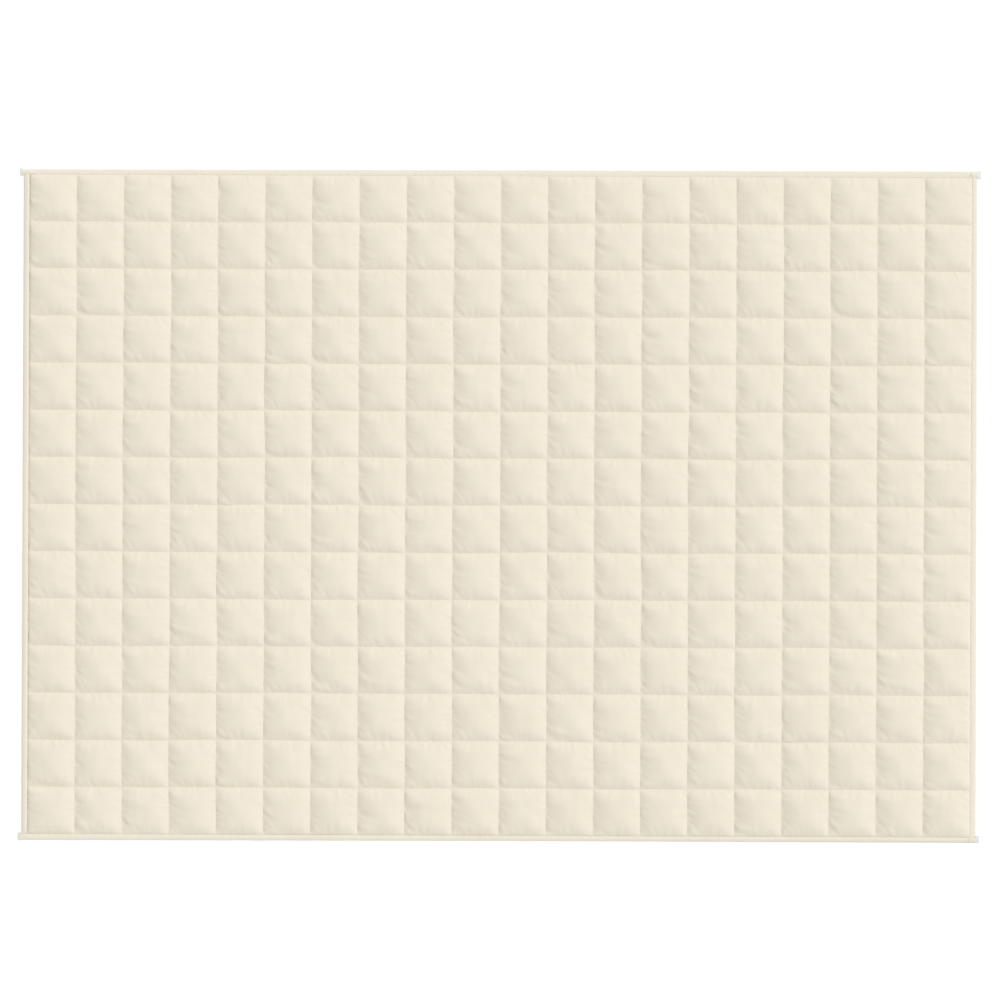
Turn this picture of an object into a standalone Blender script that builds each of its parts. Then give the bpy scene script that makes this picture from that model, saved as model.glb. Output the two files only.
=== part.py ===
# A quilted weighted blanket lying flat: one filled body of square pockets, sewn through along
# a grid of seams, and four folded strips of binding round its edge.
# Metres, +Z up. The origin is under the middle of the blanket, on the surface that it lies on.
# +X runs along the long side and +Y along the short side.

import math

import bmesh
import bpy
from mathutils import Matrix, Vector

# Quilting
COLUMNS, ROWS = 20, 14
LENGTH = 2.000  # along X, over the left and right bindings
CROWN = 0.0135  # top of a pocket
SEAM_MID = 0.0045  # middle of the sewn layers, between pockets
SEAM_CLOTH = 0.0018  # the layers where they are sewn through
CROSSING_DIP = 0.0006  # how much deeper two seams draw the cloth in where they cross
CROWN_UNEVENNESS = 0.06
SHOULDER = 0.60  # where the pocket's shoulder lies, from 0 at its middle to 1 at its seam
DOME_POWER, DOME_FULLNESS = 2.0, 0.6
PAD_INSET = 0.014  # from a seam to the flat that the pocket's underside rests on

# Edge and binding
EDGE_MID = 0.0030  # middle of the thin edge that the binding holds
EDGE_CLOTH = 0.0016
TAPE = 0.0008  # the binding's cloth
FOLD = 0.0020  # from the outside of the binding's fold to its slot
CLEARANCE = 0.0003
STRIP_WIDTH = {"far": 0.0100, "near": 0.0132, "left": 0.0138, "right": 0.0115}
TAIL = {
    "far": {"left": 0.0065, "right": 0.0090},
    "near": {"left": 0.0090, "right": 0.0085},
}
TAIL_HALF = 0.0016  # half the thickness of the flattened ends that stand out at the corners
TAIL_TAPER = 0.0030
CORNER_TAPER = 0.0120  # along which the strip narrows again past a corner
NOSE_STEPS = 6

# Worked out from the sizes above
PITCH = (LENGTH - STRIP_WIDTH["left"] - STRIP_WIDTH["right"]) / COLUMNS
WIDTH = ROWS * PITCH + STRIP_WIDTH["far"] + STRIP_WIDTH["near"]
WEST, EAST = -LENGTH / 2, LENGTH / 2
SOUTH, NORTH = -WIDTH / 2, WIDTH / 2
FIELD_WEST, FIELD_EAST = WEST + STRIP_WIDTH["left"], EAST - STRIP_WIDTH["right"]
FIELD_SOUTH, FIELD_NORTH = SOUTH + STRIP_WIDTH["near"], NORTH - STRIP_WIDTH["far"]
SLOT_HALF = EDGE_CLOTH / 2 + CLEARANCE
STRIP_HALF = SLOT_HALF + TAPE
CORNER_SLOT_HALF = STRIP_HALF + CLEARANCE  # at a corner the long strip holds the short one's end
CORNER_HALF = CORNER_SLOT_HALF + TAPE
RISE = CROWN - SEAM_MID - SEAM_CLOTH / 2

CREAM = (0.80, 0.75, 0.62, 1.0)
BINDING_CREAM = (0.78, 0.73, 0.61, 1.0)


def material(name, colour):
    made = bpy.data.materials.new(name)
    made.use_nodes = True
    shader = made.node_tree.nodes["Principled BSDF"]
    shader.inputs["Base Color"].default_value = colour
    shader.inputs["Roughness"].default_value = 0.85
    shader.inputs["Metallic"].default_value = 0.0
    return made


def add_object(name, bm, finish):
    mesh = bpy.data.meshes.new(name)
    bm.to_mesh(mesh)
    bm.free()
    mesh.materials.append(finish)
    piece = bpy.data.objects.new(name, mesh)
    bpy.context.scene.collection.objects.link(piece)
    return piece


def smooth_step(t):
    t = min(max(t, 0.0), 1.0)
    return t * t * (3 - 2 * t)


def layer_heights(x, y):
    """The middle and the thickness of the sewn layers under (x, y): they sink to the edge in the outer pockets."""
    inside = min(x - FIELD_WEST, FIELD_EAST - x, y - FIELD_SOUTH, FIELD_NORTH - y)
    share = smooth_step(inside / PITCH)
    middle = EDGE_MID + (SEAM_MID - EDGE_MID) * share
    thickness = EDGE_CLOTH + (SEAM_CLOTH - EDGE_CLOTH) * share
    return middle, thickness, share


def pocket_of(x, y):
    """Column, row, and place in the pocket from -1 to 1 each way."""
    across, along = (x - FIELD_WEST) / PITCH, (y - FIELD_SOUTH) / PITCH
    column = min(max(int(across), 0), COLUMNS - 1)
    row = min(max(int(along), 0), ROWS - 1)
    u, v = 2 * (across - column) - 1, 2 * (along - row) - 1
    return column, row, min(max(u, -1.0), 1.0), min(max(v, -1.0), 1.0)


def top_height(x, y):
    middle, thickness, share = layer_heights(x, y)
    column, row, u, v = pocket_of(x, y)
    dome = ((1 - abs(u) ** DOME_POWER) * (1 - abs(v) ** DOME_POWER)) ** DOME_FULLNESS
    uneven = 1 + CROWN_UNEVENNESS * math.sin(2.1 * column + 1.3 * row) * math.cos(1.7 * column - 2.6 * row)
    crossing = abs(u * v) ** 8 * share
    return middle + thickness / 2 + RISE * dome * uneven - CROSSING_DIP * crossing


def bottom_height(x, y):
    middle, thickness, share = layer_heights(x, y)
    column, row, u, v = pocket_of(x, y)
    on_seam = max(abs(u), abs(v)) > 1 - PAD_INSET / PITCH
    return middle - thickness / 2 if on_seam else 0.0


def in_field(face):
    centre = face.calc_center_median()
    return FIELD_WEST < centre.x < FIELD_EAST and FIELD_SOUTH < centre.y < FIELD_NORTH


def quilted_body(finish):
    bm = bmesh.new()
    middle = Vector(((FIELD_WEST + FIELD_EAST) / 2, (FIELD_SOUTH + FIELD_NORTH) / 2, 0))
    size = Matrix.Diagonal((COLUMNS * PITCH / 2, ROWS * PITCH / 2, 1, 1))
    bmesh.ops.create_grid(
        bm, x_segments=COLUMNS, y_segments=ROWS, size=1, matrix=Matrix.Translation(middle) @ size
    )
    # The thin edge round the pockets, which goes into the bindings
    rim = [edge for edge in bm.edges if edge.is_boundary]
    widened = bmesh.ops.extrude_edge_only(bm, edges=rim)["geom"]
    for vertex in (item for item in widened if isinstance(item, bmesh.types.BMVert)):
        if abs(vertex.co.x - FIELD_WEST) < CLEARANCE:
            vertex.co.x = WEST + FOLD + CLEARANCE
        if abs(vertex.co.x - FIELD_EAST) < CLEARANCE:
            vertex.co.x = EAST - FOLD - CLEARANCE
        if abs(vertex.co.y - FIELD_SOUTH) < CLEARANCE:
            vertex.co.y = SOUTH + FOLD + CLEARANCE
        if abs(vertex.co.y - FIELD_NORTH) < CLEARANCE:
            vertex.co.y = NORTH - FOLD - CLEARANCE
    # A closed slab, whose two sides are then quilted each in its own way
    upper = bmesh.ops.extrude_face_region(bm, geom=bm.faces[:], use_keep_orig=True)["geom"]
    bmesh.ops.translate(
        bm, vec=(0, 0, EDGE_CLOTH), verts=[item for item in upper if isinstance(item, bmesh.types.BMVert)]
    )
    level = EDGE_CLOTH / 2
    top_cells = [face for face in bm.faces if in_field(face) and face.calc_center_median().z > level]
    pads = [face for face in bm.faces if in_field(face) and face.calc_center_median().z < level / 2]
    bmesh.ops.inset_individual(bm, faces=pads, thickness=PAD_INSET, use_even_offset=True)
    seams = list({edge for face in top_cells for edge in face.edges})
    bmesh.ops.subdivide_edges(bm, edges=seams, cuts=1, use_grid_fill=True)
    pockets = {}
    for face in bm.faces:
        centre = face.calc_center_median()
        if in_field(face) and centre.z > level:
            pockets.setdefault(pocket_of(centre.x, centre.y)[:2], []).append(face)
    for quarters in pockets.values():
        bmesh.ops.inset_region(
            bm, faces=quarters, thickness=(1 - SHOULDER) * PITCH / 2, use_even_offset=True
        )
    for vertex in bm.verts:
        if vertex.co.z > level:
            vertex.co.z = top_height(vertex.co.x, vertex.co.y)
        else:
            vertex.co.z = bottom_height(vertex.co.x, vertex.co.y)
    bmesh.ops.triangulate(bm, faces=bm.faces[:])
    bmesh.ops.recalc_face_normals(bm, faces=bm.faces[:])
    return add_object("quilted_body", bm, finish)


def strip_section(width, half):
    """Outline of a folded strip, flat on its inner side: (distance from the fold, height) points from lip to lip."""
    steps = [math.pi * step / NOSE_STEPS for step in range(NOSE_STEPS + 1)]
    nose = [(half - half * math.sin(angle), half * math.cos(angle)) for angle in steps]
    return [(width, half)] + nose + [(width, -half)]


def short_strip(name, side, finish):
    """A left or right strip: one channel section, straight from end to end, round the body's edge."""
    bm = bmesh.new()
    width = STRIP_WIDTH[side] - CLEARANCE
    slot = [(width, -SLOT_HALF), (FOLD, -SLOT_HALF), (FOLD, SLOT_HALF), (width, SLOT_HALF)]
    outside, inwards = (WEST, 1) if side == "left" else (EAST, -1)
    start = SOUTH + FOLD + CLEARANCE
    end = NORTH - FOLD - CLEARANCE
    outline = [
        bm.verts.new((outside + inwards * depth, start, EDGE_MID + height))
        for depth, height in strip_section(width, STRIP_HALF) + slot
    ]
    section = bm.faces.new(outline)
    swept = bmesh.ops.extrude_face_region(bm, geom=[section], use_keep_orig=True)["geom"]
    bmesh.ops.translate(
        bm, vec=(0, end - start, 0), verts=[item for item in swept if isinstance(item, bmesh.types.BMVert)]
    )
    bmesh.ops.triangulate(bm, faces=bm.faces[:])
    bmesh.ops.recalc_face_normals(bm, faces=bm.faces[:])
    return add_object(name, bm, finish)


def loft(sections):
    """A closed skin over outlines that have the same number of points."""
    bm = bmesh.new()
    rings = [[bm.verts.new(point) for point in section] for section in sections]
    for first, second in zip(rings, rings[1:]):
        for corner, point in enumerate(first):
            after = (corner + 1) % len(first)
            bm.faces.new((point, first[after], second[after], second[corner]))
    bm.faces.new(rings[0])
    bm.faces.new(rings[-1])
    bmesh.ops.triangulate(bm, faces=bm.faces[:])
    bmesh.ops.recalc_face_normals(bm, faces=bm.faces[:])
    return bm


def long_strip(name, side, finish):
    """The far or near strip, which wraps the ends of the short strips and stands out past them as flat tails."""
    width = STRIP_WIDTH[side] - CLEARANCE
    outside, inwards = (NORTH, -1) if side == "far" else (SOUTH, 1)
    tail = TAIL[side]
    stations = [
        {"x": WEST - tail["left"], "half": TAIL_HALF},
        {"x": WEST - CLEARANCE - TAPE - TAIL_TAPER, "half": TAIL_HALF},
        {"x": WEST - CLEARANCE, "half": CORNER_HALF},
        {"x": FIELD_WEST + CLEARANCE, "half": CORNER_HALF},
        {"x": FIELD_WEST + CORNER_TAPER, "half": STRIP_HALF},
        {"x": FIELD_EAST - CORNER_TAPER, "half": STRIP_HALF},
        {"x": FIELD_EAST - CLEARANCE, "half": CORNER_HALF},
        {"x": EAST + CLEARANCE, "half": CORNER_HALF},
        {"x": EAST + CLEARANCE + TAPE + TAIL_TAPER, "half": TAIL_HALF},
        {"x": EAST + tail["right"], "half": TAIL_HALF},
    ]
    skin = [
        [
            (station["x"], outside + inwards * depth, EDGE_MID + height)
            for depth, height in strip_section(width, station["half"])
        ]
        for station in stations
    ]
    strip = add_object(name, loft(skin), finish)
    mouth = 2 * width
    slot_stations = stations[2:-2]
    slot = [
        [
            (station["x"], outside + inwards * depth, EDGE_MID + height)
            for depth, height in (
                (FOLD, station["half"] - TAPE),
                (mouth, station["half"] - TAPE),
                (mouth, TAPE - station["half"]),
                (FOLD, TAPE - station["half"]),
            )
        ]
        for station in slot_stations
    ]
    cutter = add_object(name + "_slot", loft(slot), finish)
    cutter.hide_render = True
    cutter.display_type = "WIRE"
    cut = strip.modifiers.new("slot", "BOOLEAN")
    cut.operation = "DIFFERENCE"
    cut.solver = "EXACT"
    cut.object = cutter
    return strip


def main():
    for old in list(bpy.data.objects):
        bpy.data.objects.remove(old)
    quilted_body(material("quilt_cloth", CREAM))
    binding = material("binding_tape", BINDING_CREAM)
    short_strip("binding_left", "left", binding)
    short_strip("binding_right", "right", binding)
    long_strip("binding_far", "far", binding)
    long_strip("binding_near", "near", binding)


main()
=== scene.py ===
# Weighted blanket, lying flat. Lengths are in metres; +X is right and +Y is up in the photograph
import math

import bmesh
import bpy
import numpy as np
from mathutils import Matrix, Vector


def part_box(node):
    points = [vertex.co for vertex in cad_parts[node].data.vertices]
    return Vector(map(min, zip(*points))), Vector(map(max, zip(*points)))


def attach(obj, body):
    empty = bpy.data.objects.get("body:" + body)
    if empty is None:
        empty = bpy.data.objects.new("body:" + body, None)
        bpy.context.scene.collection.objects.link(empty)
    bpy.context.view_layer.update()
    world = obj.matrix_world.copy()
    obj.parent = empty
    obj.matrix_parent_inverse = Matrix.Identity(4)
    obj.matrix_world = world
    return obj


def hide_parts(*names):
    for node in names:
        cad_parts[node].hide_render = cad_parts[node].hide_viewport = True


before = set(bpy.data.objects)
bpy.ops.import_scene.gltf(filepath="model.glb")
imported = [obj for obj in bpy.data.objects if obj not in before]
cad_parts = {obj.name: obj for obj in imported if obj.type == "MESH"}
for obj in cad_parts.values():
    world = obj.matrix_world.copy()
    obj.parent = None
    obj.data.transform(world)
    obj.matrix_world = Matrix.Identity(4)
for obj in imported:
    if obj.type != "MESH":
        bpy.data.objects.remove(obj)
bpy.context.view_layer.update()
print("frame loaded:", ", ".join(sorted(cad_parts)))

gap = 0.0003  # between neighbouring pieces, as in the solids
field = {
    "columns": 20,
    "rows": 14,
    "west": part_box("binding_left")[1][0] + gap,
    "east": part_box("binding_right")[0][0] - gap,
    "south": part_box("binding_near")[1][1] + gap,
    "north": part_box("binding_far")[0][1] - gap,
    "stray": 0.0006,  # how far a sewn line runs from straight
    "strayRun": 0.15,  # distance in which it may begin to, in from the bindings
    "strayWaves": (0.12, 0.6),
    "straySeed": 11,
}
pitchX = (field["east"] - field["west"]) / field["columns"]
pitchY = (field["north"] - field["south"]) / field["rows"]

layers = {
    "edgeMiddle": 0.0030,  # heights of the sewn-through cloth under the bindings
    "edgeCloth": 0.0016,
    "seamMiddle": 0.0045,  # and along the seams
    "seamCloth": 0.0018,
    "crossingDip": 0.0008,
    "crossingReach": 0.018,
    "swell": 0.0006,  # height to which the cloth comes out from under the bindings
    "swellLeft": 0.0008,  # and how much higher it does at the left and right ones
    "swellRight": 0.0006,
    "swellSide": 0.02,
    "swellRise": 0.0016,
    "swellReach": 0.045,
    "pull": 0.00012,  # the thread gathers the cloth beside it into small waves
    "pullReach": 0.008,
    "pullWaves": (0.008, 0.018),
    "pullSeed": 23,
    "settleRun": 0.01,  # dips and pulls begin this far in from the bindings
}
gathers = {  # small folds that run from the stitches into a pocket
    "heights": (0.00090, 0.00008, 0.00019, 0.00008),  # from its left, right, near and far seams
    "steepest": (0.45, 0.0, 0.3, 0.0),  # how far they slant at the near left corner
    "turning": (0.5, 0.0, 0.3, 0.0),  # and how much less at a seam's other end
    "fadeIn": 0.0035,
    "reach": 0.021,
    "fadePower": 1.5,
    "unevenness": 0.5,
    "reachLimits": (0.3, 2),  # least and most of it, as shares
    "waves": (0.013, 0.032),
    "apart": (0.37, 0.11),  # between the ripples of two pockets, and of two seams
    "seed": 61,
}


def smoothStep(t):
    t = np.clip(t, 0.0, 1.0)
    return t * t * (3 - 2 * t)


def ripples(x, y, seed, count, shortest, longest):
    # Many small waves in all directions, about 1 high together
    draw = np.random.default_rng(seed)
    total = np.zeros_like(x)
    for wave in range(count):
        turn, start = draw.uniform(0, 2 * math.pi, 2)
        number = 2 * math.pi / draw.uniform(shortest, longest)
        total += np.sin((x * math.cos(turn) + y * math.sin(turn)) * number + start)
    return total / math.sqrt(count / 2)


def insideBy(x, y):
    # Distance in from the bindings
    fromSides = np.minimum(x - field["west"], field["east"] - x)
    fromEnds = np.minimum(y - field["south"], field["north"] - y)
    return np.minimum(fromSides, fromEnds)


def strayed(x, y):
    # Where a point of the plan lies once the seams are a little crooked
    share = smoothStep(insideBy(x, y) / field["strayRun"]) * field["stray"]
    moveX = share * ripples(x, y, field["straySeed"], 14, *field["strayWaves"])
    moveY = share * ripples(x, y, field["straySeed"] + 1, 14, *field["strayWaves"])
    return x + moveX, y + moveY


def fromSeam(place, start, pitch):
    turns = (place - start) / pitch
    return np.abs(turns - np.round(turns)) * pitch


def sewnHeights(x, y):
    # Underside and top of the cloth where it is sewn through; it sinks to the edge of the blanket
    inside = insideBy(x, y)
    share = smoothStep(inside / pitchX)
    middle = layers["edgeMiddle"] + (layers["seamMiddle"] - layers["edgeMiddle"]) * share
    cloth = layers["edgeCloth"] + (layers["seamCloth"] - layers["edgeCloth"]) * share
    offX = fromSeam(x, field["west"], pitchX)
    offY = fromSeam(y, field["south"], pitchY)
    dip = layers["crossingDip"] * np.exp(-(offX**2 + offY**2) / layers["crossingReach"] ** 2)
    pull = layers["pull"] * np.exp(-np.minimum(offX, offY) / layers["pullReach"])
    pull = pull * ripples(x, y, layers["pullSeed"], 40, *layers["pullWaves"])
    clear = np.maximum(inside, 0)
    side = layers["swellSide"]
    swell = layers["swell"] + layers["swellLeft"] * np.exp(-(((x - field["west"]) / side) ** 2))
    swell = swell + layers["swellRight"] * np.exp(-(((field["east"] - x) / side) ** 2))
    swell = swell * np.exp(-clear / layers["swellReach"])
    swell = swell * (1 - np.exp(-clear / layers["swellRise"]))
    top = middle + cloth / 2 + swell + (pull - dip) * smoothStep(inside / layers["settleRun"])
    return middle - cloth / 2, top


def gathered(x, y, pocket):
    # Height of the small folds at a place in a pocket, measured from its left and near seams
    total = np.zeros_like(x)
    seams = ((x, y, pitchY), (pitchX - x, y, pitchY), (y, x, pitchX), (pitchY - y, x, pitchX))
    shortest, longest = gathers["waves"]
    pocketApart, seamApart = gathers["apart"]
    for number, (depth, along, length) in enumerate(seams):
        depth = np.maximum(depth, 0)
        start = along + gathers["steepest"][number] * depth
        start = start / (1 + gathers["turning"][number] * depth / length)  # where it meets its seam
        share = np.clip(start / length, 0, 1)
        other = pocketApart * pocket + seamApart * number
        seed = gathers["seed"] + 2 * number
        wave = ripples(start, other, seed, 24, shortest, longest)
        uneven = ripples(start, other, seed + 1, 12, 2 * shortest, 2 * longest)
        longer = np.clip(1 + gathers["unevenness"] * uneven, *gathers["reachLimits"])
        fade = np.exp(-((depth / (gathers["reach"] * longer)) ** gathers["fadePower"]))
        fade = fade * (1 - np.exp(-depth / gathers["fadeIn"]))
        clear = smoothStep(8 * share * (1 - share))  # none at the corners
        total += gathers["heights"][number] * wave * fade * clear
    return total


def readPoints(mesh):
    points = np.empty(len(mesh.vertices) * 3)
    mesh.vertices.foreach_get("co", points)
    return points.reshape(-1, 3)


def writePoints(mesh, points):
    mesh.vertices.foreach_set("co", points.ravel())
    mesh.update()


def edgeEnds(mesh):
    ends = np.empty(len(mesh.edges) * 2, dtype=np.int64)
    mesh.edges.foreach_get("vertices", ends)
    return ends.reshape(-1, 2)


def meshFrom(bm, name):
    mesh = bpy.data.meshes.new(name)
    bm.to_mesh(mesh)
    bm.free()
    return mesh


def placed(name, data):
    item = bpy.data.objects.new(name, data)
    bpy.context.scene.collection.objects.link(item)
    return item


def closeFaces(mesh):
    # Faces of many corners are cut into triangles, and all turned outwards
    bm = bmesh.new()
    bm.from_mesh(mesh)
    wide = [face for face in bm.faces if len(face.verts) > 4]
    bmesh.ops.triangulate(bm, faces=wide)
    bmesh.ops.recalc_face_normals(bm, faces=bm.faces[:])
    bm.to_mesh(mesh)
    bm.free()


def addPiece(name, mesh, material, slotName, *nodes):
    piece = placed(name, mesh)
    mesh.materials.clear()
    mesh.materials.append(material)
    mesh.shade_smooth()
    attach(piece, "root")
    if nodes:
        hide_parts(*nodes)
    print("made", name, len(mesh.polygons), "faces")
    return piece


class Wire:
    # A socket that arithmetic works on
    def __init__(self, tree, socket=None):
        self.tree = tree
        self.socket = socket

    def add(self, kind, settings, inputs, output=0):
        node = self.tree.nodes.new(kind)
        for name, value in settings.items():
            setattr(node, name, value)
        for name, value in inputs.items():
            self.feed(node.inputs[name], value)
        return Wire(self.tree, node.outputs[output])

    def feed(self, socket, value):
        if isinstance(value, Wire):
            self.tree.links.new(value.socket, socket)
        else:
            socket.default_value = value

    def beside(self, output):
        return Wire(self.tree, self.socket.node.outputs[output])

    def maths(self, operation, first, second=0.0):
        return self.add("ShaderNodeMath", {"operation": operation}, {0: first, 1: second})

    def __add__(self, other):
        return self.maths("ADD", self, other)

    def __radd__(self, other):
        return self.maths("ADD", other, self)

    def __sub__(self, other):
        return self.maths("SUBTRACT", self, other)

    def __rsub__(self, other):
        return self.maths("SUBTRACT", other, self)

    def __mul__(self, other):
        return self.maths("MULTIPLY", self, other)

    def __rmul__(self, other):
        return self.maths("MULTIPLY", other, self)

    def sine(self):
        return self.maths("SINE", self)

    def absolute(self):
        return self.maths("ABSOLUTE", self)


quiltLook = {
    "name": "quiltCotton",
    "pale": (0.735, 0.683, 0.570),
    "deep": (0.705, 0.650, 0.535),
    "thread": 0.00055,  # spacing of the weave's threads
    "slub": 0.010,
    "slubWidth": 0.12,  # as a share of its length
    "fuzz": 0.0012,
    "clouds": 0.12,
    "shades": {"weave": 0.12, "slub": 0.8, "clouds": 1.1, "fuzz": 0.4, "less": 1.05},
    "heights": {"weave": 0.5, "slub": 1.2, "fuzz": 1.0},
    "relief": 0.00006,
    "strength": 0.5,
    "roughness": 0.88,
    "roughnessSpread": 0.08,
    "specular": 0.3,
    "sheen": 0.10,
    "sheenRoughness": 0.5,
}
bindingLook = dict(
    quiltLook,
    name="bindingCotton",
    pale=(0.740, 0.695, 0.590),
    deep=(0.710, 0.660, 0.555),
    thread=0.00045,
    ends=(0.655, 0.680, 0.668),  # the flattened ends are painted greyer, as painted shade
    endShadeShare=0.7,
    endsFrom=1.0004,
    endsRun=0.0012,
)
threadLook = dict(
    quiltLook,
    name="sewingThread",
    pale=(0.760, 0.712, 0.605),
    deep=(0.720, 0.670, 0.560),
    thread=0.00030,
    strength=0.3,
)
# The tack thread is painted darker than the sewing thread, as painted shade of its dense stitches
shadedTackLook = dict(threadLook, name="shadedTackThread", pale=(0.52, 0.50, 0.45), deep=(0.48, 0.46, 0.42))


def clothMaterial(look):
    material = bpy.data.materials.new(look["name"])
    material.use_nodes = True
    shader = material.node_tree.nodes["Principled BSDF"]
    start = Wire(material.node_tree)
    place = start.add("ShaderNodeTexCoord", {}, {}, "Object")
    across = start.add("ShaderNodeSeparateXYZ", {}, {"Vector": place}, "X")
    along = across.beside("Y")
    number = math.pi / look["thread"]
    weave = (across * number).sine() * (along * number).sine()  # over one, under one

    def noise(size, stretch=(1.0, 1.0, 1.0)):
        drawn = start.add("ShaderNodeMapping", {}, {"Vector": place, "Scale": stretch})
        inputs = {"Vector": drawn, "Scale": 1 / size, "Detail": 3.0, "Roughness": 0.55}
        return start.add("ShaderNodeTexNoise", {}, inputs)

    slubAcross = noise(look["slub"], (look["slubWidth"], 1.0, 1.0))  # thicker yarns, both ways
    slubAlong = noise(look["slub"], (1.0, look["slubWidth"], 1.0))
    fuzz = noise(look["fuzz"])
    clouds = noise(look["clouds"])
    shades, heights = look["shades"], look["heights"]
    shade = weave * shades["weave"] + slubAcross * shades["slub"] + slubAlong * shades["slub"]
    shade = shade + clouds * shades["clouds"] + fuzz * shades["fuzz"] - shades["less"]
    colours = {0: shade, 6: (*look["pale"], 1.0), 7: (*look["deep"], 1.0)}
    colour = start.add("ShaderNodeMix", {"data_type": "RGBA", "clamp_factor": True}, colours, 2)
    # The ends past the side strips are painted greyer: painted shade
    if "ends" in look:
        off = (across.absolute() - look["endsFrom"]) * (1 / look["endsRun"])
        mask = start.add("ShaderNodeClamp", {}, {"Value": off}) * look["endShadeShare"]
        colours = {0: mask, 6: colour, 7: (*look["ends"], 1.0)}
        colour = start.add("ShaderNodeMix", {"data_type": "RGBA", "clamp_factor": True}, colours, 2)
    height = weave * heights["weave"] + slubAcross * heights["slub"] + slubAlong * heights["slub"]
    height = height + fuzz * heights["fuzz"]
    relief = {"Strength": look["strength"], "Distance": look["relief"], "Height": height}
    bump = start.add("ShaderNodeBump", {}, relief)
    start.feed(shader.inputs["Base Color"], colour)
    roughness = look["roughness"] + (fuzz - 0.5) * look["roughnessSpread"]
    start.feed(shader.inputs["Roughness"], roughness)
    start.feed(shader.inputs["Normal"], bump)
    start.feed(shader.inputs["Specular IOR Level"], look["specular"])
    start.feed(shader.inputs["Sheen Weight"], look["sheen"])
    start.feed(shader.inputs["Sheen Roughness"], look["sheenRoughness"])
    return material


quiltCotton = clothMaterial(quiltLook)
bindingCotton = clothMaterial(bindingLook)
sewingThread = clothMaterial(threadLook)
shadedTackThread = clothMaterial(shadedTackLook)
print("materials ready")

pocketCloth = {
    "variants": 16,
    "segments": 40,
    "enlarged": 10,  # cloth settles better at this scale
    "spacing": 1.4,  # from one trial square to the next, in pockets
    "middleEase": 0.003,  # spare cloth across the middle of a pocket, as a share of it
    "seamEase": 0.05,  # and along its seams
    "easePower": 4,
    "cornerPower": 6,
    "drag": 0.002,  # the presser foot drags the cloth along at the left seam
    "dragReach": 0.3,
    "rise": 0.0075,
    "domePower": 0.6,
    "crinkle": 0.0004,
    "crinkleRise": 4,  # how fast it begins at the seams
    "crinkleWaves": (0.012, 0.028),
    "crinkleSeed": 4,
    "weight": 0.3,
    "stretch": 15,
    "shear": 5,
    "bending": 4,
    "damping": 5,
    "bendingDamping": 0.5,
    "pressure": 8,
    "sewnBy": 16,
    "frames": 46,
    "ownCreases": 0.9,  # shares that are kept of the creases that differ from pocket to pocket
    "sharedCreases": 0.1,  # and of those that all of them have
    "cornerCalm": 0.65,  # the filling smooths them in the corners
    "cornerFrom": 0.9,
    "cornerRun": 0.6,
}


def cutCloth(u, v, size, cloth):
    # A pocket's square before it is gathered into its seams, wider than the space that they leave
    spare = cloth["seamEase"] - cloth["middleEase"]
    power = cloth["cornerPower"] + 1

    def eased(t, other):
        share = cloth["middleEase"] + spare * np.abs(other) ** cloth["easePower"]
        return t + share * (t - t**power / power)

    dragged = -cloth["drag"] * cloth["enlarged"] * np.exp(-(1 + u) / cloth["dragReach"])
    return size / 2 * eased(u, v), size / 2 * eased(v, u) + dragged


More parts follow.
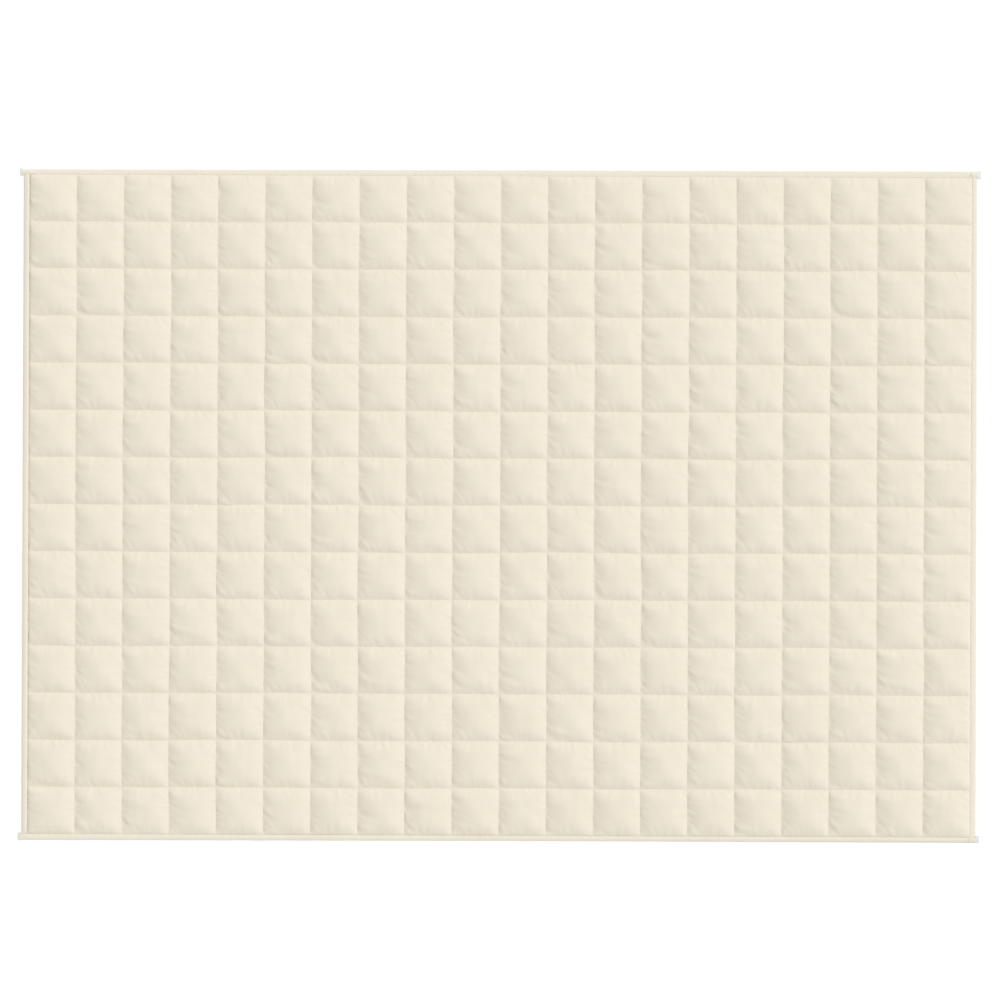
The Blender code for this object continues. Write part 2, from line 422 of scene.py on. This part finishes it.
def settledPockets(cloth):
    # Cloth simulation of a row of filled pockets: each square is gathered to its seams while the
    # filling pushes it up
    scale = cloth["enlarged"]
    size = pitchX * scale
    spacing = cloth["spacing"] * size
    steps = cloth["segments"]
    count = cloth["variants"]
    bm = bmesh.new()
    for variant in range(count):
        square = bmesh.ops.create_grid(bm, x_segments=steps, y_segments=steps, size=size / 2)
        bmesh.ops.translate(bm, vec=(variant * spacing, 0, 0), verts=square["verts"])
    mesh = meshFrom(bm, "pocketTrial")

    sewn = readPoints(mesh)
    variant = np.round(sewn[:, 0] / spacing)
    u = np.clip((sewn[:, 0] - variant * spacing) / (size / 2), -1, 1)
    v = np.clip(sewn[:, 1] / (size / 2), -1, 1)
    border = (np.abs(u) > 0.999) | (np.abs(v) > 0.999)
    dome = np.where(border, 0, np.maximum(0, (1 - u**2) * (1 - v**2)) ** cloth["domePower"])
    waves = [wave * scale for wave in cloth["crinkleWaves"]]
    crinkle = ripples(sewn[:, 0], sewn[:, 1], cloth["crinkleSeed"], 60, *waves)
    cut = sewn.copy()
    acrossPocket, alongPocket = cutCloth(u, v, size, cloth)
    cut[:, 0] = variant * spacing + acrossPocket
    cut[:, 1] = alongPocket
    crinkle = cloth["crinkle"] * crinkle * np.minimum(1, dome * cloth["crinkleRise"])
    cut[:, 2] = scale * (cloth["rise"] * dome + crinkle)

    writePoints(mesh, cut)
    trial = placed("pocketTrial", mesh)
    trial.shape_key_add(name="cut")
    drawnIn = trial.shape_key_add(name="sewn")
    drawnIn.data.foreach_set("co", sewn.ravel())
    drawnIn.value = 0
    drawnIn.keyframe_insert("value", frame=1)
    drawnIn.value = 1
    drawnIn.keyframe_insert("value", frame=1 + cloth["sewnBy"])
    seams = trial.vertex_groups.new(name="seams")
    seams.add([int(number) for number in np.nonzero(border)[0]], 1.0, "REPLACE")

    modifier = trial.modifiers.new("cloth", "CLOTH")
    settings = modifier.settings
    settings.quality = 5
    settings.mass = cloth["weight"]
    settings.bending_model = "ANGULAR"
    settings.tension_stiffness = settings.compression_stiffness = cloth["stretch"]
    settings.shear_stiffness = cloth["shear"]
    settings.bending_stiffness = cloth["bending"]
    settings.tension_damping = settings.compression_damping = cloth["damping"]
    settings.shear_damping = cloth["damping"]
    settings.bending_damping = cloth["bendingDamping"]
    settings.air_damping = 1
    settings.use_pressure = True
    settings.uniform_pressure_force = cloth["pressure"]
    settings.vertex_group_mass = "seams"
    settings.pin_stiffness = 1
    settings.effector_weights.gravity = 0
    modifier.collision_settings.use_collision = False
    modifier.collision_settings.use_self_collision = False
    modifier.point_cache.frame_start = 1
    modifier.point_cache.frame_end = cloth["frames"]
    for number in range(1, cloth["frames"] + 1):
        bpy.context.scene.frame_set(number)
    ready = trial.evaluated_get(bpy.context.evaluated_depsgraph_get())
    settled = bpy.data.meshes.new_from_object(ready)
    points = readPoints(settled)

    forms = np.zeros((count, steps + 1, steps + 1, 3))
    column = np.round((u + 1) / 2 * steps).astype(int)
    row = np.round((v + 1) / 2 * steps).astype(int)
    centres = np.stack([variant * spacing, 0 * variant, 0 * variant], axis=1)
    forms[variant.astype(int), column, row] = (points - centres) / scale
    bpy.context.scene.frame_set(1)
    bpy.data.objects.remove(trial)
    for leftover in (mesh, settled):
        bpy.data.meshes.remove(leftover)

    # Kept are the puckers and creases that the cloth makes on an even pillow
    mean = forms[..., 2].mean(axis=0)
    pillow = sum(np.rot90(way, turns) for way in (mean, mean.T) for turns in range(4)) / 8
    crown = pillow[steps // 2, steps // 2]
    puckers = (forms[..., 2] - mean) * cloth["ownCreases"]
    puckers = puckers + (mean - pillow) * cloth["sharedCreases"]
    fromMiddle = np.abs(np.linspace(-1, 1, steps + 1))
    diagonal = fromMiddle[:, None] + fromMiddle[None, :]
    inCorner = smoothStep((diagonal - cloth["cornerFrom"]) / cloth["cornerRun"])
    forms[..., 2] = puckers / crown * (1 - cloth["cornerCalm"] * inCorner)
    print("pockets settled:", count, "forms, crown", round(crown * 1000, 1), "mm")
    return np.pad(forms, ((0, 0), (1, 2), (1, 2), (0, 0)), mode="reflect", reflect_type="odd")


def sampled(forms, variants, u, v):
    # Smooth reading of the settled forms, with cubic curves between their points
    steps = forms.shape[1] - 4
    total = np.zeros((len(u), 3))
    starts, weights = [], []
    for t in (u, v):
        place = (t + 1) / 2 * steps
        start = np.clip(np.floor(place), 0, steps - 1).astype(int)
        f = place - start
        starts.append(start)
        weights.append(
            (
                ((-0.5 * f + 1.0) * f - 0.5) * f,
                (1.5 * f - 2.5) * f * f + 1.0,
                ((-1.5 * f + 2.0) * f + 0.5) * f,
                (0.5 * f - 0.5) * f * f,
            )
        )
    for across in range(4):
        for along in range(4):
            share = weights[0][across] * weights[1][along]
            total += forms[variants, starts[0] + across, starts[1] + along] * share[:, None]
    return total


quilt = {
    "segments": 32,  # on top of a pocket, each way
    "coarse": 8,  # and under it
    "crowding": 0.12,  # how far the faces crowd towards the seams
    "bands": ((0, 4), (4, 7), (7, 10), (10, 14)),  # rows of pockets, counted from the near edge
    "crown": 0.0090,  # height of a pocket's middle above its seams
    "profileAcross": (1.86, 5.6),  # power of the rise from its seams, and growth to their ends
    "profileAlong": (2.62, 0.5),
    "lean": 0.061,  # how far the filling lies to the left, as a share of half a pocket
    "fillSpread": 0.05,
    "blendRun": 0.6,  # width over which the two settled forms of a pocket blend
    "lump": 0.0003,
    "lumpWaves": (0.03, 0.09),
    "lumpSeed": 31,
    "flat": 0.66,  # share of a pocket that lies on the surface
    "ramp": 0.34,
    "rimReach": 0.87,  # share of the solid's rim that the cloth fills inside the bindings
    "rimThinning": 0.5,
    "mixSeed": 7,
}


def gridSheet(bm, columns, rows, height, fold):
    # A flat grid whose points lie on whole numbers, each face fold wide
    spread = Matrix.Diagonal((columns * fold, rows * fold, 1, 1))
    made = bmesh.ops.create_grid(bm, x_segments=columns, y_segments=rows, size=0.5, matrix=spread)
    move = (columns * fold / 2, rows * fold / 2, height)
    bmesh.ops.translate(bm, vec=move, verts=made["verts"])
    return made["verts"]


def bandMesh(columns, rows, fold):
    # Fine faces on top, walls round them and coarse faces below, with points on whole numbers
    bm = bmesh.new()
    gridSheet(bm, columns, rows, 1, 1)
    rim = [edge for edge in bm.edges if edge.is_boundary]
    wall = bmesh.ops.extrude_edge_only(bm, edges=rim)["geom"]
    foot = [item for item in wall if isinstance(item, bmesh.types.BMVert)]
    bmesh.ops.translate(bm, vec=(0, 0, -1), verts=foot)
    under = set(gridSheet(bm, columns // fold, rows // fold, 0, fold))
    lowRim = [edge for edge in bm.edges if edge.is_boundary and edge.verts[0] in under]
    bmesh.ops.subdivide_edges(bm, edges=lowRim, cuts=fold - 1)
    bmesh.ops.remove_doubles(bm, verts=bm.verts[:], dist=0.01)
    mesh = meshFrom(bm, "quiltBand")
    closeFaces(mesh)
    return mesh


def quiltBand(firstRow, lastRow, forms, draws):
    fine = quilt["segments"]
    fold = fine // quilt["coarse"]
    rimNear = fold if firstRow == 0 else 0
    rimFar = fold if lastRow == field["rows"] else 0
    columns = field["columns"] * fine + 2 * fold
    rows = (lastRow - firstRow) * fine + rimNear + rimFar
    mesh = bandMesh(columns, rows, fold)
    points = readPoints(mesh)
    i = np.round(points[:, 0]) - fold
    j = np.round(points[:, 1]) - rimNear + firstRow * fine
    onTop = points[:, 2] > 0.5
    lastI = field["columns"] * fine
    lastJ = field["rows"] * fine
    column = np.clip(i // fine, 0, field["columns"] - 1).astype(int)
    row = np.clip(j // fine, firstRow, lastRow - 1).astype(int)

    def crowded(t):
        t = np.clip(t, -1, 1)
        return t + quilt["crowding"] * (t - t**3)

    u = crowded(2 * (i - column * fine) / fine - 1)
    v = crowded(2 * (j - row * fine) / fine - 1)
    reach = quilt["rimReach"] / fold
    rimWest = (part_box("quilted_body")[0][0] - field["west"]) * reach
    rimEast = (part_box("quilted_body")[1][0] - field["east"]) * reach
    rimSouth = (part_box("quilted_body")[0][1] - field["south"]) * reach
    rimNorth = (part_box("quilted_body")[1][1] - field["north"]) * reach
    inPocketX = pitchX * (u + 1) / 2
    inPocketY = pitchY * (v + 1) / 2
    x = field["west"] + pitchX * column + inPocketX
    y = field["south"] + pitchY * row + inPocketY
    x += rimWest * np.maximum(0, -i) + rimEast * np.maximum(0, i - lastI)
    y += rimSouth * np.maximum(0, -j) + rimNorth * np.maximum(0, j - lastJ)
    low, high = sewnHeights(x, y)
    beyond = np.maximum.reduce([-i, i - lastI, -j, j - lastJ, 0 * i]) / fold
    thinning = (high - low) / 2 * quilt["rimThinning"] * beyond
    low, high = low + thinning, high - thinning
    pillow = (i > 0) & (i < lastI) & (j > 0) & (j < lastJ)

    # A pocket's left and right halves come from two settled forms, so that few pockets are alike
    pocket = row * field["columns"] + column
    blend = smoothStep(u / quilt["blendRun"] + 0.5)[:, None]
    left = sampled(forms, draws[0][pocket], u, v)
    right = sampled(forms, draws[1][pocket], u, v)
    form = left * (1 - blend) + right * blend
    fill = 1 + quilt["fillSpread"] * draws[2][pocket]
    lump = quilt["lump"] * ripples(x, y, quilt["lumpSeed"], 30, *quilt["lumpWaves"])
    lump = lump * (1 - u**2) * (1 - v**2)
    top = onTop & pillow
    points[:, 0] = x + np.where(top, form[:, 0] - u * pitchX / 2, 0)
    points[:, 1] = y + np.where(top, form[:, 1] - v * pitchY / 2, 0)
    points[:, 0], points[:, 1] = strayed(points[:, 0], points[:, 1])
    pillowed = fill
    leant = u + quilt["lean"] * (1 - u**2)
    for t, other, profile in ((leant, v, "profileAcross"), (v, u, "profileAlong")):
        power = quilt[profile][0] + quilt[profile][1] * np.abs(other) ** 3
        pillowed = pillowed * (1 - np.abs(t) ** power)
    folds = gathered(inPocketX, inPocketY, pocket)
    raised = np.maximum((pillowed + form[:, 2]) * quilt["crown"] + folds, 0) + lump
    fromMiddle = np.maximum(np.abs(u), np.abs(v))
    sole = low * smoothStep((fromMiddle - quilt["flat"]) / quilt["ramp"])
    sole = np.where((i < 0) | (i > lastI) | (j < 0) | (j > lastJ), low, sole)
    points[:, 2] = np.where(onTop, high + np.where(top, raised, 0), sole)
    writePoints(mesh, points)

    # The stitches crease the cloth along every seam
    ends = edgeEnds(mesh)
    alongColumn = (i[ends[:, 0]] == i[ends[:, 1]]) & (i[ends[:, 0]] % fine == 0)
    alongRow = (j[ends[:, 0]] == j[ends[:, 1]]) & (j[ends[:, 0]] % fine == 0)
    creased = (alongColumn | alongRow) & onTop[ends[:, 0]]
    mark = mesh.attributes.new("sharp_edge", "BOOLEAN", "EDGE")
    mark.data.foreach_set("value", creased)

    name = "quiltRows" + str(firstRow + 1) + "to" + str(lastRow)
    band = addPiece(name, mesh, quiltCotton, "quilt_cloth", "quilted_body")
    return band


forms = settledPockets(pocketCloth)
mixing = np.random.default_rng(quilt["mixSeed"])
pockets = field["columns"] * field["rows"]
draws = (
    mixing.integers(0, pocketCloth["variants"], pockets),
    mixing.integers(0, pocketCloth["variants"], pockets),
    mixing.uniform(-1, 1, pockets),
)
for firstRow, lastRow in quilt["bands"]:
    quiltBand(firstRow, lastRow, forms, draws)

binding = {
    "cloth": 0.0008,
    "middle": 0.0030,  # height of the body's edge
    "slot": 0.0011,  # half the height of the room inside
    "cornerHalf": 0.0024,  # half the height of the long strips round the side strips' ends
    "cornerTaper": 0.012,
    "tuckedHalf": 0.0015,  # and half that of those ends
    "tuckedTaper": 0.015,
    "fullness": 0.65,  # power of a strip's rise from its fold, 0.5 for an ellipse
    "slotDepth": 0.0020,  # from the fold to the room for the body's edge
    "slotRise": 0.0022,
    "slotRounding": 0.72,  # share of its height that the room has there
    "slotLevel": 0.6,  # share of the width from which it is level
    "mouthFrom": 0.7,  # and from which it narrows by the gap at its mouth
    "mouthGap": 0.0001,
    "lipRun": 0.004,  # distance in which a strip rises from its inner edge
    "hem": (0.0003, 0.0008),  # places of the first points, from the inner edge
    "grooveWidth": 0.0006,
    "beside": 0.0014,  # from the stitched line to the level part beside it
    "clear": 0.002,  # least distance from that line to the rounding
    "puff": 0.00006,
    "pull": 0.00012,  # small waves beside the stitched line
    "pullWaves": (0.009, 0.016),
    "pullReach": 0.004,
    "pullAcross": 0.25,  # they are four times as long across the strip
    "bulge": 0.0002,
    "bulgeWaves": (0.03, 0.14),
    "tucked": 0.0040,  # how far the side strips stop short of their solids, inside the long ones
    "foldTurn": 0.001,  # cloth that the fold itself takes
    "step": 0.003,
    "endStep": 0.001,
    "endLength": 0.024,
    "seed": 51,
}
tails = {  # the flattened ends of the long strips
    "half": 0.0016,
    "slot": 0.0001,  # half the height of the room that is left in them
    "lip": 0.0011,
    "taper": 0.003,
    "flares": {  # how much further they reach, inwards and outwards, at the left and the right
        "binding_far": ((0.0045, 0.0024), (0.0030, 0.0008)),
        "binding_near": ((0.0030, 0.0008), (0.0030, 0.0008)),
    },
    "flareRun": 0.001,
    "endHeight": 0.7,  # share of their height at the very end
}
strips = {
    "binding_left": {
        "along": 1,  # the axis that it runs along
        "inwards": 1,
        "outside": 0,
        "half": 0.0029,  # half its height
        "rounding": 0.80,  # share of the width over which it rises from its fold
        "lip": 0.0010,  # thickness at its inner edge
        "groove": 0.00030,  # depth of its stitched line
        "inset": 0.0020,  # of that line, from the inner edge
        "moves": (-0.0009, -0.0009, -0.0010),  # of its fold, outwards, at its start, middle and end
        "short": (0.0, 0.0),  # of its solid's ends
    },
    "binding_right": {
        "along": 1,
        "inwards": -1,
        "outside": 1,
        "half": 0.0013,
        "rounding": 0.92,
        "lip": 0.0002,
        "groove": 0.00002,
        "inset": 0.0025,
        "moves": (0.0009, 0.0001, -0.0012),
        "short": (0.0, 0.0),
    },
    "binding_far": {
        "along": 0,
        "inwards": -1,
        "outside": 1,
        "half": 0.0012,
        "rounding": 0.74,
        "lip": 0.0001,
        "groove": 0.00003,
        "inset": 0.0020,
        "moves": (0.0001, 0.0019, 0.0031),
        "short": (0.0, 0.0021),
    },
    "binding_near": {
        "along": 0,
        "inwards": 1,
        "outside": 0,
        "half": 0.0023,
        "rounding": 0.62,
        "lip": 0.0005,
        "groove": 0.00015,
        "inset": 0.0020,
        "moves": (-0.0001, -0.0020, -0.0027),
        "short": (0.0028, 0.0),
    },
}
tacks = {  # where the right side's stitches cross the long strips
    "binding_far": {
        "turned": False,
        "counts": (1, 8),
        "step": 0.0007,
        "start": 0.0012,  # from the fold
        "end": 0.0062,
        "dent": 0.0008,
    },
    "binding_near": {
        "turned": True,
        "counts": (4, 1),
        "step": 0.0,
        "start": 0.0010,
        "end": 0.0130,
        "dent": 0.0011,
    },
}
tackPlace = field["east"] - 0.004
tackReach = 0.0015
sides = (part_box("binding_left")[0][0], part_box("binding_right")[1][0])  # the side strips' folds


def stripSize(name):
    # Width of a strip, where it starts and ends, and where its fold lies
    strip = strips[name]
    low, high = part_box(name)
    across = 1 - strip["along"]
    tucked = binding["tucked"] * strip["along"]
    first = low[strip["along"]] + tucked + strip["short"][0]
    last = high[strip["along"]] - tucked - strip["short"][1]
    foldLine = (low, high)[strip["outside"]][across]
    return high[across] - low[across], first, last, foldLine


def stripHalf(strip, s):
    # Half a strip's height at a place along it, half its slot's, and how far it is a tail there
    plain, cloth = strip["half"], binding["cloth"]
    if strip["along"] == 1:
        fromEnds = np.minimum(s - field["south"], field["north"] - s)
        share = smoothStep(fromEnds / binding["tuckedTaper"])
        half = binding["tuckedHalf"] + (plain - binding["tuckedHalf"]) * share
        return half, np.full_like(s, binding["slot"]), np.zeros_like(s)
    west, east = sides
    taper = tails["taper"] + cloth
    places = [
        west - gap - taper,
        west - gap,
        field["west"] + gap,
        field["west"] + binding["cornerTaper"],
        field["east"] - binding["cornerTaper"],
        field["east"] - gap,
        east + gap,
        east + gap + taper,
    ]
    tail, corner = tails["half"], binding["cornerHalf"]
    half = np.interp(s, places, [tail, corner, corner, plain, plain, corner, corner, tail])
    inner = [corner - cloth] * 2 + [binding["slot"]] * 2 + [corner - cloth] * 2
    slot = np.interp(s, places, [tails["slot"]] + inner + [tails["slot"]])
    return half, slot, np.interp(s, places, [1, 0, 0, 0, 0, 0, 0, 1])


def stripOutline(width, inset, rounding):
    # Round the folded strip: depth from the fold, which face, and its share of that face's height
    groove, level = binding["grooveWidth"], binding["beside"]
    curve = min(rounding * width, width - inset - binding["clear"])
    fromEdge = [*binding["hem"], inset - groove, inset, inset + groove, inset + level]
    flat = [width - distance for distance in fromEdge]
    curved = [curve * (1 - math.cos(math.pi / 10 * step)) for step in range(5, 0, -1)]
    upper = [(width, "face", 1.0)]
    upper += [(depth, "face", 1.0) for depth in flat + [(flat[-1] + curve) / 2] + curved]
    lower = [(depth, "face", -1.0) for depth in curved[::-1] + [flat[-1], flat[0]]]
    lower += [(width, "face", -1.0)]
    rise = binding["slotDepth"] + binding["slotRise"]
    slot = [(width - binding["mouthGap"], 1.0), (width * binding["slotLevel"], 1.0)]
    slot.append((rise, binding["slotRounding"]))
    back = [(depth, "slot", -share) for depth, share in slot]
    back.append((binding["slotDepth"], "slot", 0.0))
    back += [(depth, "slot", share) for depth, share in reversed(slot)]
    return upper + [(0.0, "face", 1.0)] + lower + back


def tackDent(name, depth, s):
    # The pressed place under the stitches that cross a long strip
    if name not in tacks:
        return np.zeros_like(s)
    tack = tacks[name]
    away = np.maximum(tack["start"] - depth, depth - tack["end"])
    off = (s - tackPlace) ** 2 + np.maximum(away, 0) ** 2
    return tack["dent"] * np.exp(-off / tackReach**2)


def stripTop(name, depth, s):
    # Height of a strip's upper face above its middle, with its stitched groove and small waves
    strip = strips[name]
    width = stripSize(name)[0]
    half, slot, tail = stripHalf(strip, s)
    turn = np.minimum(depth / (strip["rounding"] * width), 1)
    rise = half * (1 - (1 - turn) ** 2) ** binding["fullness"]
    lip = (slot - binding["mouthGap"] + strip["lip"]) * (1 - tail) + tails["lip"] * tail
    lip = np.minimum(lip, half)
    run = smoothStep((width - depth) / binding["lipRun"])
    fromStitch = depth - (width - strip["inset"])
    groove = strip["groove"] * np.exp(-((fromStitch / binding["grooveWidth"]) ** 2)) * (1 - tail)
    puff = binding["puff"] * np.sin(math.pi * np.clip(depth / (width - strip["inset"]), 0, 1))
    seed = binding["seed"] + strip["outside"] + 2 * strip["along"]
    waves = ripples(s, depth * binding["pullAcross"], seed, 12, *binding["pullWaves"])
    pull = binding["pull"] * waves * np.exp(-np.abs(fromStitch) / binding["pullReach"])
    return rise * run + lip * (1 - run) - groove + puff + pull - tackDent(name, depth, s)


def foldedStrip(name):
    strip = strips[name]
    width, first, last, foldLine = stripSize(name)
    outline = stripOutline(width, strip["inset"], strip["rounding"])
    nearEnds = np.arange(0, binding["endLength"], binding["endStep"])
    middle = np.array([first, last]) + binding["endLength"] * np.array([1, -1])
    count = round((middle[1] - middle[0]) / binding["step"])
    rings = np.concatenate([first + nearEnds, np.linspace(*middle, count), last - nearEnds[::-1]])
    bm = bmesh.new()
    bmesh.ops.create_cone(bm, cap_ends=True, segments=len(outline), radius1=1, radius2=1, depth=2)
    long = [edge for edge in bm.edges if abs(edge.verts[0].co.z - edge.verts[1].co.z) > 1]
    bmesh.ops.subdivide_edges(bm, edges=long, cuts=len(rings) - 2)
    mesh = meshFrom(bm, name)

    points = readPoints(mesh)
    turn = np.arctan2(points[:, 1], points[:, 0])
    corner = np.round(turn / (2 * math.pi) * len(outline)).astype(int) % len(outline)
    ring = np.round((points[:, 2] + 1) / 2 * (len(rings) - 1)).astype(int)
    s = rings[ring]
    depth = np.array([place[0] for place in outline])[corner]
    inSlot = np.array([place[1] == "slot" for place in outline])[corner]
    share = np.array([place[2] for place in outline])[corner]
    half, slot, tail = stripHalf(strip, s)
    mouth = np.where(depth > width * binding["mouthFrom"], binding["mouthGap"], 0)
    slotHeight = (slot - mouth) * share
    if name == "binding_far":
        slotHeight -= np.where(share > 0, tackDent(name, depth, s), 0)
    height = np.where(inSlot, slotHeight, stripTop(name, depth, s) * share)
    atEnd = (ring == 0) | (ring == len(rings) - 1)
    height = height * np.where(atEnd & (tail > 0), tails["endHeight"], 1)
    uneven = ripples(s, 0 * s, binding["seed"] + 9, 10, *binding["bulgeWaves"])
    bulge = binding["bulge"] * (0.5 + 0.5 * uneven)
    moved = bulge + np.interp(s, [first, (first + last) / 2, last], strip["moves"])
    depthNow = depth - moved * np.where(inSlot, 0, np.clip(1 - depth / width, 0, 1))
    if name in tails["flares"]:
        inTail = smoothStep(np.maximum(sides[0] - s, s - sides[1]) / tails["flareRun"])
        flares = np.array(tails["flares"][name])[(s > 0).astype(int)]
        depthNow += inTail * (flares[:, 0] * depth / width - flares[:, 1] * (1 - depth / width))
    points[:, strip["along"]] = s
    points[:, 1 - strip["along"]] = foldLine + strip["inwards"] * depthNow
    points[:, 2] = np.maximum(binding["middle"] + height, 0)
    writePoints(mesh, points)
    closeFaces(mesh)

    # The turned-in hem is creased sharply at the inner edge
    ends = edgeEnds(mesh)
    mark = mesh.attributes.new("sharp_edge", "BOOLEAN", "EDGE")
    mark.data.foreach_set("value", (corner[ends[:, 0]] == 0) & (corner[ends[:, 1]] == 0))
    piece = addPiece(name + "_cloth", mesh, bindingCotton, "binding_cloth", name)
    2 * width + binding["foldTurn"]
    last - first
    return piece


for name in strips:
    foldedStrip(name)

stitching = {
    "perPocket": 28,
    "bindingPitch": 0.0033,
    "seamSize": (0.0027, 0.00050, 0.00032),
    "bindingSize": (0.0027, 0.00042, 0.00015),
    "knotSize": (0.0030, 0.00090, 0.00060),
    "bed": 0.35,  # how far a stitch's middle lies above the cloth, as a share of its height
    "plunge": 0.7,  # and how far its ends go down into the holes
}


def stitchRow(size, pitch, counts, step, turned):
    # Rows of stitches side by side, before they follow the cloth
    bm = bmesh.new()
    bmesh.ops.create_uvsphere(bm, u_segments=4, v_segments=2, radius=0.5)
    bmesh.ops.scale(bm, vec=size, verts=bm.verts[:])
    ends = [vert for vert in bm.verts if abs(vert.co.x) > 0.25 * size[0]]
    bmesh.ops.translate(bm, vec=(0, 0, -stitching["plunge"] * size[2]), verts=ends)
    bmesh.ops.translate(bm, vec=(0, 0, stitching["bed"] * size[2]), verts=bm.verts[:])
    if turned:
        spin = Matrix.Rotation(math.pi / 2, 3, "Z")
        bmesh.ops.rotate(bm, cent=(0, 0, 0), matrix=spin, verts=bm.verts[:])
    mesh = meshFrom(bm, "stitch")
    row = placed("stitch", mesh)
    offsets = ((0, pitch, 0), (step, 0, 0)) if turned else ((pitch, 0, 0), (0, step, 0))
    for count, offset in zip(counts, offsets):
        array = row.modifiers.new("repeat", "ARRAY")
        array.count = count
        array.use_relative_offset = False
        array.use_constant_offset = True
        array.constant_offset_displace = offset
    ready = row.evaluated_get(bpy.context.evaluated_depsgraph_get())
    repeated = bpy.data.meshes.new_from_object(ready)
    bpy.data.objects.remove(row)
    bpy.data.meshes.remove(mesh)
    return repeated


def seamStitches(name, turned):
    ways = [(pitchX, field["columns"]), (pitchY, field["rows"])]
    (along, cells), (across, lines) = reversed(ways) if turned else ways
    pitch = along / stitching["perPocket"]
    counts = (cells * stitching["perPocket"], lines - 1)
    mesh = stitchRow(stitching["seamSize"], pitch, counts, across, turned)
    points = readPoints(mesh)
    startX = field["west"] + (pitchX if turned else pitch / 2)
    startY = field["south"] + (pitch / 2 if turned else pitchY)
    x = points[:, 0] + startX
    y = points[:, 1] + startY
    points[:, 2] += sewnHeights(x, y)[1]
    points[:, 0], points[:, 1] = strayed(x, y)
    writePoints(mesh, points)
    return addPiece(name, mesh, sewingThread, "quilt_cloth")


def alongStrip(name, mesh, start, depth):
    # Stitches laid on a strip, from a place along it and a distance from its fold
    strip = strips[name]
    foldLine = stripSize(name)[3]
    points = readPoints(mesh)
    s = points[:, strip["along"]] + start
    depth = points[:, 1 - strip["along"]] + depth
    points[:, 2] += binding["middle"] + stripTop(name, depth, s)
    points[:, 1 - strip["along"]] = foldLine + strip["inwards"] * depth
    points[:, strip["along"]] = s
    writePoints(mesh, points)


def joinedRows(name, rows, material):
    bm = bmesh.new()
    for row in rows:
        bm.from_mesh(row)
        bpy.data.meshes.remove(row)
    bmesh.ops.recalc_face_normals(bm, faces=bm.faces[:])
    return addPiece(name, meshFrom(bm, name), material, "binding_cloth")


def bindingStitches():
    rows = []
    pitch = stitching["bindingPitch"]
    for name, strip in strips.items():
        turned = strip["along"] == 1
        first, last = (field["south"], field["north"]) if turned else sides
        counts = (int((last - first) / pitch), 1)
        row = stitchRow(stitching["bindingSize"], pitch, counts, 0, turned)
        alongStrip(name, row, first + pitch / 2, stripSize(name)[0] - strip["inset"])
        rows.append(row)
    return joinedRows("bindingStitches", rows, sewingThread)


def cornerTacks():
    rows = []
    pitch = stitching["bindingPitch"]
    for name, tack in tacks.items():
        row = stitchRow(stitching["knotSize"], pitch, tack["counts"], tack["step"], tack["turned"])
        alongStrip(name, row, tackPlace, tack["start"])
        rows.append(row)
    return joinedRows("cornerTacks", rows, shadedTackThread)


seamStitches("rowStitches", False)
seamStitches("columnStitches", True)
bindingStitches()
cornerTacks()

studio = {
    "floorSize": 9.0,
    "floorTone": 0.12,
    "floorRoughness": 0.9,
    "floorSpecular": 0.2,
    "floorDrop": 0.0002,
    "floorGlow": 0.90,
    "sky": 0.852,
    "skyColour": (1.0, 0.989, 0.989),
    "sun": 1.705,
    "sunColour": (0.985, 1.0, 1.0),
    "sunTurn": math.radians(30),  # from +X towards +Y
    "sunHeight": math.radians(36),
    "sunWidth": math.radians(16),
}


def floorMaterial():
    material = bpy.data.materials.new("paleFloor")
    material.use_nodes = True
    shader = material.node_tree.nodes["Principled BSDF"]
    tone = studio["floorTone"]
    shader.inputs["Base Color"].default_value = (tone, tone, tone, 1)
    shader.inputs["Roughness"].default_value = studio["floorRoughness"]
    shader.inputs["Specular IOR Level"].default_value = studio["floorSpecular"]
    shader.inputs["Emission Color"].default_value = (1, 1, 1, 1)
    shader.inputs["Emission Strength"].default_value = studio["floorGlow"]
    return material


def makeStudio():
    bm = bmesh.new()
    bmesh.ops.create_grid(bm, x_segments=1, y_segments=1, size=studio["floorSize"] / 2)
    bmesh.ops.translate(bm, vec=(0, 0, -studio["floorDrop"]), verts=bm.verts[:])
    mesh = meshFrom(bm, "floor")
    mesh.materials.append(floorMaterial())
    floor = placed("floor", mesh)

    world = bpy.data.worlds.new("softLight")
    bpy.context.scene.world = world
    world.use_nodes = True
    background = world.node_tree.nodes["Background"]
    background.inputs["Color"].default_value = (*studio["skyColour"], 1)
    background.inputs["Strength"].default_value = studio["sky"]

    lamp = bpy.data.lights.new("window", "SUN")
    lamp.energy = studio["sun"]
    lamp.color = studio["sunColour"]
    lamp.angle = studio["sunWidth"]
    window = placed("window", lamp)
    turn, height = studio["sunTurn"], studio["sunHeight"]
    level = math.cos(height)
    towards = Vector((math.cos(turn) * level, math.sin(turn) * level, math.sin(height)))
    window.rotation_euler = towards.to_track_quat("Z", "Y").to_euler()


camera = {
    "lens": 85,
    "sensor": 36,
    "height": 4.9516,
    "centre": (0.0015, 0.0137),  # of the picture, on the floor
    "turn": 0.0040,
}


def makeCamera():
    lens = bpy.data.cameras.new("camera")
    lens.lens = camera["lens"]
    lens.sensor_width = camera["sensor"]
    eye = placed("camera", lens)
    eye.location = (*camera["centre"], camera["height"])
    eye.rotation_euler = (0, 0, camera["turn"])
    bpy.context.scene.camera = eye
    bpy.context.scene.view_settings.view_transform = "Standard"


makeStudio()
makeCamera()
print("studio and camera ready")
